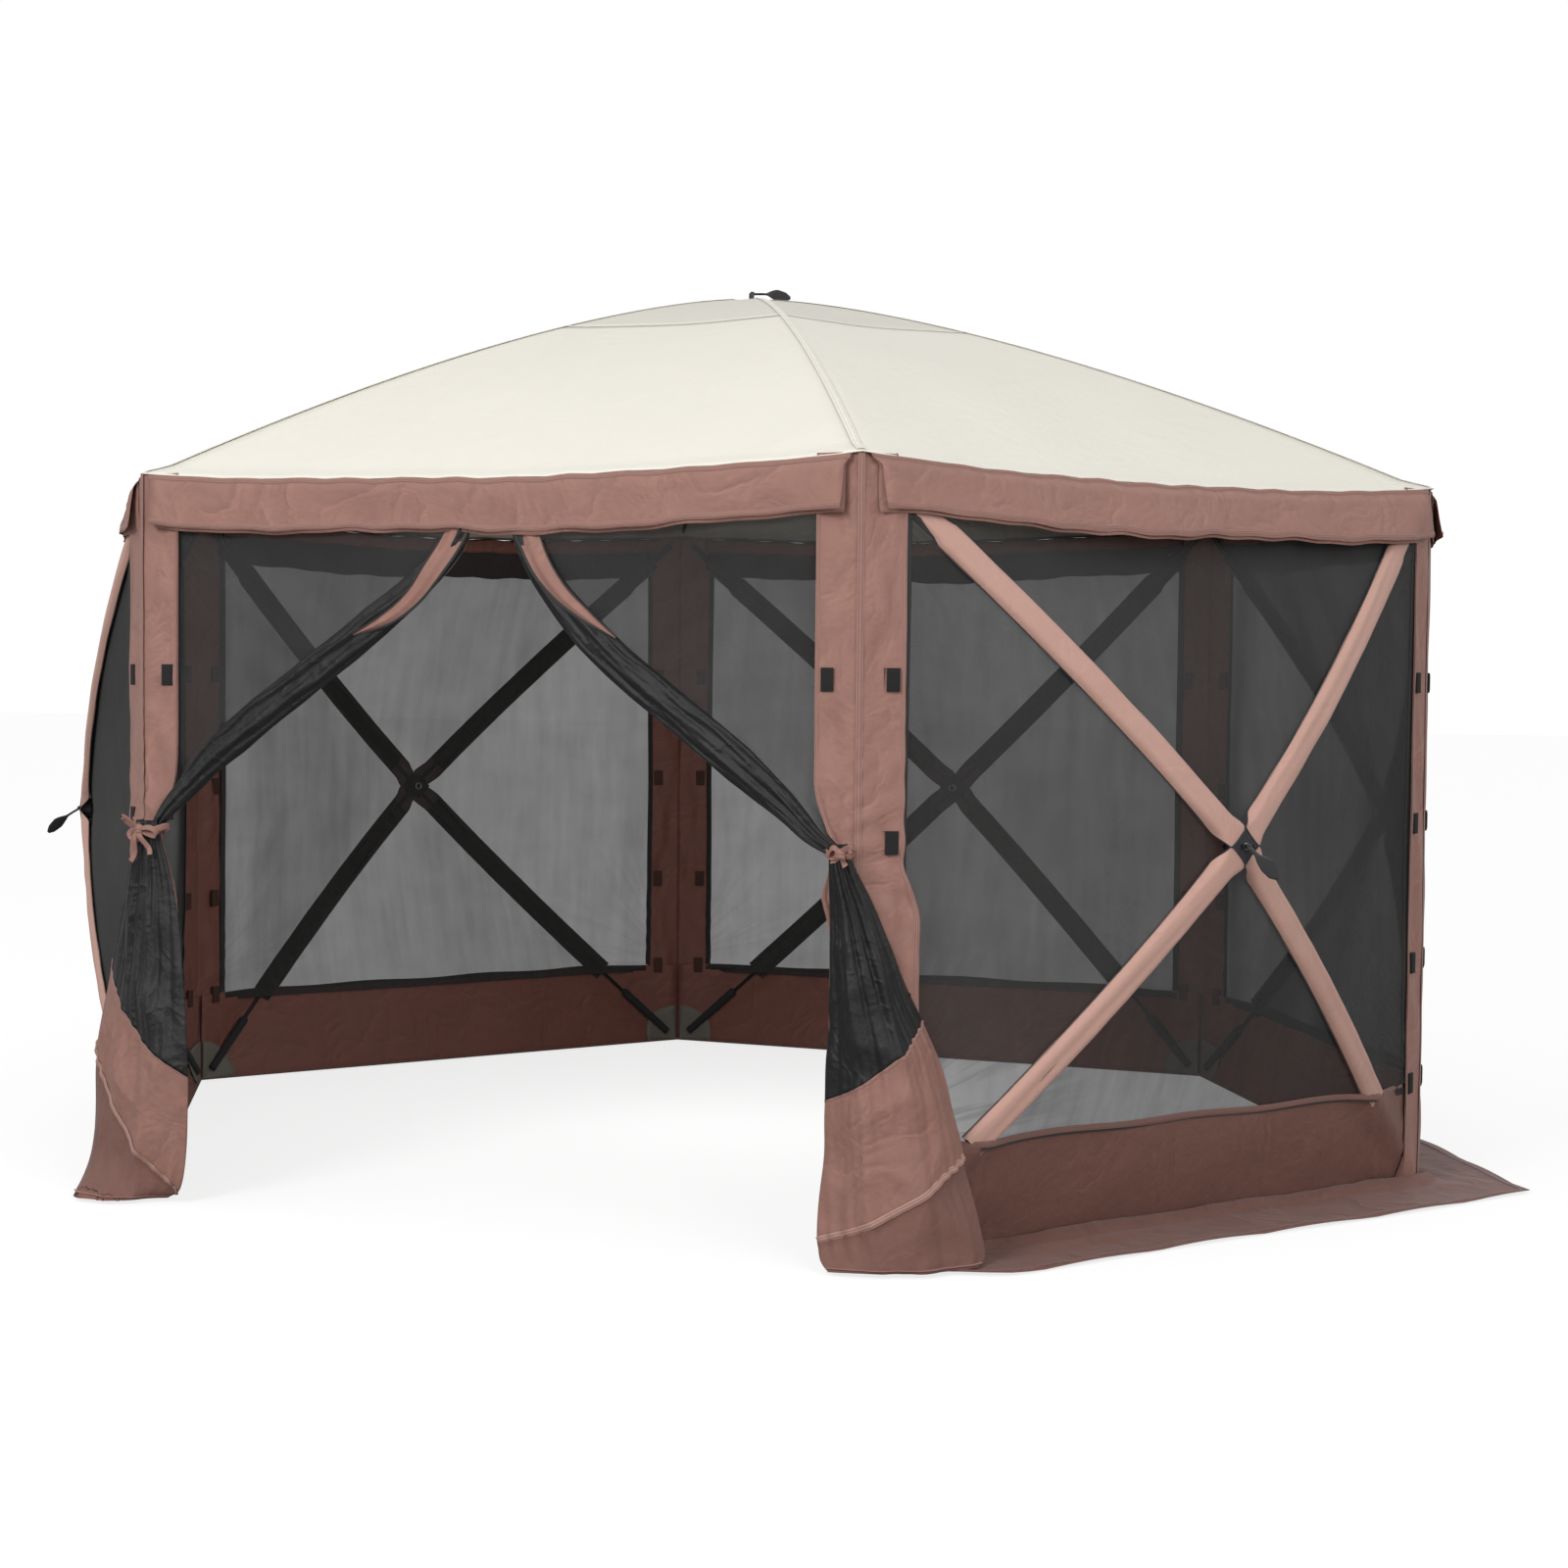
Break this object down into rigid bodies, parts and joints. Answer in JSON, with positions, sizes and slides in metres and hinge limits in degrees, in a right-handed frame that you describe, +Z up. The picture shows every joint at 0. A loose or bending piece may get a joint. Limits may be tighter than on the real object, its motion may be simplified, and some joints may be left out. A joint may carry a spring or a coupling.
{
  "type": "screen house",
  "caption": "Six-sided pop-up screen house with hub-sprung mesh walls and roof, hanging valance, ground skirt and a doorway with both flaps tied back.",
  "frame": {"origin": "ground level under the centre of the six corners", "axes": "+Z up; the doorway wall faces -Y; +X runs through the corner to the right of the doorway wall's neighbour, along a corner-to-corner diagonal"},
  "size_m": [4.2004, 3.8362, 2.311],
  "materials": {
    "roof_cloth": "coated woven polyester, matte",
    "crown_cloth": "coated woven polyester, matte",
    "shell_cloth": "woven polyester, matte",
    "screen_mesh": "knitted insect screen, see-through",
    "rod_finish": "pultruded glass-fibre rod, satin",
    "hub_plastic": "moulded nylon, satin",
    "strap_webbing": "woven webbing"
  },
  "bodies": {
    "shell": {"roof_canopy": "roof_cloth", "roof_crown": "crown_cloth", "roof_valance": "shell_cloth", "ground_skirt": "shell_cloth", "door_curtain_left": "shell_cloth", "door_curtain_right": "shell_cloth", "corner_post_a": "shell_cloth", "corner_post_b": "shell_cloth", "corner_post_c": "shell_cloth", "corner_post_d": "shell_cloth", "corner_post_e": "shell_cloth", "corner_post_f": "shell_cloth", "wall_mesh_1": "screen_mesh", "wall_mesh_2": "screen_mesh", "wall_mesh_3": "screen_mesh", "wall_mesh_4": "screen_mesh", "wall_mesh_5": "screen_mesh", "wall_band_1": "shell_cloth", "wall_band_2": "shell_cloth", "wall_band_3": "shell_cloth", "wall_band_4": "shell_cloth", "wall_band_5": "shell_cloth"},
    "wall_hub_1": {"wall_hub_1": "hub_plastic"},
    "wall_pole_1_tl": {"wall_pole_1_tl": "rod_finish"},
    "wall_pole_1_tr": {"wall_pole_1_tr": "rod_finish"},
    "wall_pole_1_bl": {"wall_pole_1_bl": "rod_finish"},
    "wall_pole_1_br": {"wall_pole_1_br": "rod_finish"},
    "wall_strap_1": {"wall_strap_1": "strap_webbing"},
    "wall_hub_2": {"wall_hub_2": "hub_plastic"},
    "wall_pole_2_tl": {"wall_pole_2_tl": "rod_finish"},
    "wall_pole_2_tr": {"wall_pole_2_tr": "rod_finish"},
    "wall_pole_2_bl": {"wall_pole_2_bl": "rod_finish"},
    "wall_pole_2_br": {"wall_pole_2_br": "rod_finish"},
    "wall_strap_2": {"wall_strap_2": "strap_webbing"},
    "wall_hub_3": {"wall_hub_3": "hub_plastic"},
    "wall_pole_3_tl": {"wall_pole_3_tl": "rod_finish"},
    "wall_pole_3_tr": {"wall_pole_3_tr": "rod_finish"},
    "wall_pole_3_bl": {"wall_pole_3_bl": "rod_finish"},
    "wall_pole_3_br": {"wall_pole_3_br": "rod_finish"},
    "wall_strap_3": {"wall_strap_3": "strap_webbing"},
    "wall_hub_4": {"wall_hub_4": "hub_plastic"},
    "wall_pole_4_tl": {"wall_pole_4_tl": "rod_finish"},
    "wall_pole_4_tr": {"wall_pole_4_tr": "rod_finish"},
    "wall_pole_4_bl": {"wall_pole_4_bl": "rod_finish"},
    "wall_pole_4_br": {"wall_pole_4_br": "rod_finish"},
    "wall_strap_4": {"wall_strap_4": "strap_webbing"},
    "wall_hub_5": {"wall_hub_5": "hub_plastic"},
    "wall_pole_5_tl": {"wall_pole_5_tl": "rod_finish"},
    "wall_pole_5_tr": {"wall_pole_5_tr": "rod_finish"},
    "wall_pole_5_bl": {"wall_pole_5_bl": "rod_finish"},
    "wall_pole_5_br": {"wall_pole_5_br": "rod_finish"},
    "wall_strap_5": {"wall_strap_5": "strap_webbing"},
    "roof_hub": {"roof_hub": "hub_plastic"},
    "roof_pole_a": {"roof_pole_a": "rod_finish"},
    "roof_pole_b": {"roof_pole_b": "rod_finish"},
    "roof_pole_c": {"roof_pole_c": "rod_finish"},
    "roof_pole_d": {"roof_pole_d": "rod_finish"},
    "roof_pole_e": {"roof_pole_e": "rod_finish"},
    "roof_pole_f": {"roof_pole_f": "rod_finish"},
    "roof_strap": {"roof_strap": "strap_webbing"}
  },
  "joints": [
    {"name": "wall_1_fold", "type": "slide", "parent": "shell", "child": "wall_hub_1", "axis": [-0.866, 0.5, 0], "range_m": [0, 0.5], "deforming": ["wall_mesh_1", "wall_band_1"]},
    {"name": "wall_1_pole_tl_swing", "type": "hinge", "parent": "wall_hub_1", "child": "wall_pole_1_tl", "pos_m": [1.55703, -0.92084, 0.9028], "axis": [0.3422, 0.5928, 0.729], "range_deg": [0, 23.38]},
    {"name": "wall_1_pole_tr_swing", "type": "hinge", "parent": "wall_hub_1", "child": "wall_pole_1_tr", "pos_m": [1.57598, -0.88801, 0.9028], "axis": [0.3422, 0.5928, -0.729], "range_deg": [0, 23.38]},
    {"name": "wall_1_pole_bl_swing", "type": "hinge", "parent": "wall_hub_1", "child": "wall_pole_1_bl", "pos_m": [1.55724, -0.92048, 0.86677], "axis": [-0.3506, -0.6072, 0.713], "range_deg": [0, 22.87]},
    {"name": "wall_1_pole_br_swing", "type": "hinge", "parent": "wall_hub_1", "child": "wall_pole_1_br", "pos_m": [1.57578, -0.88837, 0.86677], "axis": [-0.3506, -0.6072, -0.713], "range_deg": [0, 22.87]},
    {"name": "wall_1_strap_swing", "type": "hinge", "parent": "wall_hub_1", "child": "wall_strap_1", "pos_m": [1.58556, -0.91542, 0.885], "axis": [-0.5, -0.866, 0], "range_deg": [-60, 40]},
    {"name": "wall_2_fold", "type": "slide", "parent": "shell", "child": "wall_hub_2", "axis": [-0.866, -0.5, 0], "range_m": [0, 0.5], "deforming": ["wall_mesh_2", "wall_band_2"]},
    {"name": "wall_2_pole_tl_swing", "type": "hinge", "parent": "wall_hub_2", "child": "wall_pole_2_tl", "pos_m": [1.57598, 0.88801, 0.9028], "axis": [-0.3422, 0.5928, 0.729], "range_deg": [0, 23.38]},
    {"name": "wall_2_pole_tr_swing", "type": "hinge", "parent": "wall_hub_2", "child": "wall_pole_2_tr", "pos_m": [1.55703, 0.92084, 0.9028], "axis": [-0.3422, 0.5928, -0.729], "range_deg": [0, 23.38]},
    {"name": "wall_2_pole_bl_swing", "type": "hinge", "parent": "wall_hub_2", "child": "wall_pole_2_bl", "pos_m": [1.57578, 0.88837, 0.86677], "axis": [0.3506, -0.6072, 0.713], "range_deg": [0, 22.87]},
    {"name": "wall_2_pole_br_swing", "type": "hinge", "parent": "wall_hub_2", "child": "wall_pole_2_br", "pos_m": [1.55724, 0.92048, 0.86677], "axis": [0.3506, -0.6072, -0.713], "range_deg": [0, 22.87]},
    {"name": "wall_2_strap_swing", "type": "hinge", "parent": "wall_hub_2", "child": "wall_strap_2", "pos_m": [1.58556, 0.91542, 0.885], "axis": [0.5, -0.866, 0], "range_deg": [-60, 40]},
    {"name": "wall_3_fold", "type": "slide", "parent": "shell", "child": "wall_hub_3", "axis": [0, -1, 0], "range_m": [0, 0.5], "deforming": ["wall_mesh_3", "wall_band_3"]},
    {"name": "wall_3_pole_tl_swing", "type": "hinge", "parent": "wall_hub_3", "child": "wall_pole_3_tl", "pos_m": [0.01895, 1.80885, 0.9028], "axis": [-0.6845, 0, 0.729], "range_deg": [0, 23.38]},
    {"name": "wall_3_pole_tr_swing", "type": "hinge", "parent": "wall_hub_3", "child": "wall_pole_3_tr", "pos_m": [-0.01895, 1.80885, 0.9028], "axis": [-0.6845, 0, -0.729], "range_deg": [0, 23.38]},
    {"name": "wall_3_pole_bl_swing", "type": "hinge", "parent": "wall_hub_3", "child": "wall_pole_3_bl", "pos_m": [0.01854, 1.80885, 0.86677], "axis": [0.7011, 0, 0.713], "range_deg": [0, 22.87]},
    {"name": "wall_3_pole_br_swing", "type": "hinge", "parent": "wall_hub_3", "child": "wall_pole_3_br", "pos_m": [-0.01854, 1.80885, 0.86677], "axis": [0.7011, 0, -0.713], "range_deg": [0, 22.87]},
    {"name": "wall_3_strap_swing", "type": "hinge", "parent": "wall_hub_3", "child": "wall_strap_3", "pos_m": [0, 1.83085, 0.885], "axis": [1, 0, 0], "range_deg": [-60, 40]},
    {"name": "wall_4_fold", "type": "slide", "parent": "shell", "child": "wall_hub_4", "axis": [0.866, -0.5, 0], "range_m": [0, 0.5], "deforming": ["wall_mesh_4", "wall_band_4"]},
    {"name": "wall_4_pole_tl_swing", "type": "hinge", "parent": "wall_hub_4", "child": "wall_pole_4_tl", "pos_m": [-1.55703, 0.92084, 0.9028], "axis": [-0.3422, -0.5928, 0.729], "range_deg": [0, 23.38]},
    {"name": "wall_4_pole_tr_swing", "type": "hinge", "parent": "wall_hub_4", "child": "wall_pole_4_tr", "pos_m": [-1.57598, 0.88801, 0.9028], "axis": [-0.3422, -0.5928, -0.729], "range_deg": [0, 23.38]},
    {"name": "wall_4_pole_bl_swing", "type": "hinge", "parent": "wall_hub_4", "child": "wall_pole_4_bl", "pos_m": [-1.55724, 0.92048, 0.86677], "axis": [0.3506, 0.6072, 0.713], "range_deg": [0, 22.87]},
    {"name": "wall_4_pole_br_swing", "type": "hinge", "parent": "wall_hub_4", "child": "wall_pole_4_br", "pos_m": [-1.57578, 0.88837, 0.86677], "axis": [0.3506, 0.6072, -0.713], "range_deg": [0, 22.87]},
    {"name": "wall_4_strap_swing", "type": "hinge", "parent": "wall_hub_4", "child": "wall_strap_4", "pos_m": [-1.58556, 0.91542, 0.885], "axis": [0.5, 0.866, 0], "range_deg": [-60, 40]},
    {"name": "wall_5_fold", "type": "slide", "parent": "shell", "child": "wall_hub_5", "axis": [0.866, 0.5, 0], "range_m": [0, 0.5], "deforming": ["wall_mesh_5", "wall_band_5"]},
    {"name": "wall_5_pole_tl_swing", "type": "hinge", "parent": "wall_hub_5", "child": "wall_pole_5_tl", "pos_m": [-1.57598, -0.88801, 0.9028], "axis": [0.3422, -0.5928, 0.729], "range_deg": [0, 23.38]},
    {"name": "wall_5_pole_tr_swing", "type": "hinge", "parent": "wall_hub_5", "child": "wall_pole_5_tr", "pos_m": [-1.55703, -0.92084, 0.9028], "axis": [0.3422, -0.5928, -0.729], "range_deg": [0, 23.38]},
    {"name": "wall_5_pole_bl_swing", "type": "hinge", "parent": "wall_hub_5", "child": "wall_pole_5_bl", "pos_m": [-1.57578, -0.88837, 0.86677], "axis": [-0.3506, 0.6072, 0.713], "range_deg": [0, 22.87]},
    {"name": "wall_5_pole_br_swing", "type": "hinge", "parent": "wall_hub_5", "child": "wall_pole_5_br", "pos_m": [-1.55724, -0.92048, 0.86677], "axis": [-0.3506, 0.6072, -0.713], "range_deg": [0, 22.87]},
    {"name": "wall_5_strap_swing", "type": "hinge", "parent": "wall_hub_5", "child": "wall_strap_5", "pos_m": [-1.58556, -0.91542, 0.885], "axis": [-0.5, 0.866, 0], "range_deg": [-60, 40]},
    {"name": "roof_fold", "type": "slide", "parent": "shell", "child": "roof_hub", "axis": [0, 0, -1], "range_m": [0, 1.12], "deforming": ["roof_canopy", "roof_crown", "roof_valance"]},
    {"name": "roof_pole_a_swing", "type": "hinge", "parent": "roof_hub", "child": "roof_pole_a", "pos_m": [-0.016, -0.02771, 2.274], "axis": [-0.866, 0.5, 0], "range_deg": [0, 35.15]},
    {"name": "roof_pole_b_swing", "type": "hinge", "parent": "roof_hub", "child": "roof_pole_b", "pos_m": [0.016, -0.02771, 2.274], "axis": [-0.866, -0.5, 0], "range_deg": [0, 35.15]},
    {"name": "roof_pole_c_swing", "type": "hinge", "parent": "roof_hub", "child": "roof_pole_c", "pos_m": [0.032, 0, 2.274], "axis": [0, -1, 0], "range_deg": [0, 35.15]},
    {"name": "roof_pole_d_swing", "type": "hinge", "parent": "roof_hub", "child": "roof_pole_d", "pos_m": [0.016, 0.02771, 2.274], "axis": [0.866, -0.5, 0], "range_deg": [0, 35.15]},
    {"name": "roof_pole_e_swing", "type": "hinge", "parent": "roof_hub", "child": "roof_pole_e", "pos_m": [-0.016, 0.02771, 2.274], "axis": [0.866, 0.5, 0], "range_deg": [0, 35.15]},
    {"name": "roof_pole_f_swing", "type": "hinge", "parent": "roof_hub", "child": "roof_pole_f", "pos_m": [-0.032, 0, 2.274], "axis": [0, 1, 0], "range_deg": [0, 35.15]},
    {"name": "roof_strap_swing", "type": "hinge", "parent": "roof_hub", "child": "roof_strap", "pos_m": [0, 0, 2.306], "axis": [-0.5, 0.866, 0], "range_deg": [-95, 0]}
  ],
  "couplings": [
    {"joint": "wall_1_pole_tl_swing", "follows": "wall_1_fold", "rad_per_m": 0.81595},
    {"joint": "wall_1_pole_tr_swing", "follows": "wall_1_fold", "rad_per_m": 0.81595},
    {"joint": "wall_1_pole_bl_swing", "follows": "wall_1_fold", "rad_per_m": 0.79815},
    {"joint": "wall_1_pole_br_swing", "follows": "wall_1_fold", "rad_per_m": 0.79815},
    {"joint": "wall_2_pole_tl_swing", "follows": "wall_2_fold", "rad_per_m": 0.81595},
    {"joint": "wall_2_pole_tr_swing", "follows": "wall_2_fold", "rad_per_m": 0.81595},
    {"joint": "wall_2_pole_bl_swing", "follows": "wall_2_fold", "rad_per_m": 0.79815},
    {"joint": "wall_2_pole_br_swing", "follows": "wall_2_fold", "rad_per_m": 0.79815},
    {"joint": "wall_3_pole_tl_swing", "follows": "wall_3_fold", "rad_per_m": 0.81595},
    {"joint": "wall_3_pole_tr_swing", "follows": "wall_3_fold", "rad_per_m": 0.81595},
    {"joint": "wall_3_pole_bl_swing", "follows": "wall_3_fold", "rad_per_m": 0.79815},
    {"joint": "wall_3_pole_br_swing", "follows": "wall_3_fold", "rad_per_m": 0.79815},
    {"joint": "wall_4_pole_tl_swing", "follows": "wall_4_fold", "rad_per_m": 0.81595},
    {"joint": "wall_4_pole_tr_swing", "follows": "wall_4_fold", "rad_per_m": 0.81595},
    {"joint": "wall_4_pole_bl_swing", "follows": "wall_4_fold", "rad_per_m": 0.79815},
    {"joint": "wall_4_pole_br_swing", "follows": "wall_4_fold", "rad_per_m": 0.79815},
    {"joint": "wall_5_pole_tl_swing", "follows": "wall_5_fold", "rad_per_m": 0.81595},
    {"joint": "wall_5_pole_tr_swing", "follows": "wall_5_fold", "rad_per_m": 0.81595},
    {"joint": "wall_5_pole_bl_swing", "follows": "wall_5_fold", "rad_per_m": 0.79815},
    {"joint": "wall_5_pole_br_swing", "follows": "wall_5_fold", "rad_per_m": 0.79815},
    {"joint": "roof_pole_a_swing", "follows": "roof_fold", "rad_per_m": 0.54776},
    {"joint": "roof_pole_b_swing", "follows": "roof_fold", "rad_per_m": 0.54776},
    {"joint": "roof_pole_c_swing", "follows": "roof_fold", "rad_per_m": 0.54776},
    {"joint": "roof_pole_d_swing", "follows": "roof_fold", "rad_per_m": 0.54776},
    {"joint": "roof_pole_e_swing", "follows": "roof_fold", "rad_per_m": 0.54776},
    {"joint": "roof_pole_f_swing", "follows": "roof_fold", "rad_per_m": 0.54776}
  ]
}
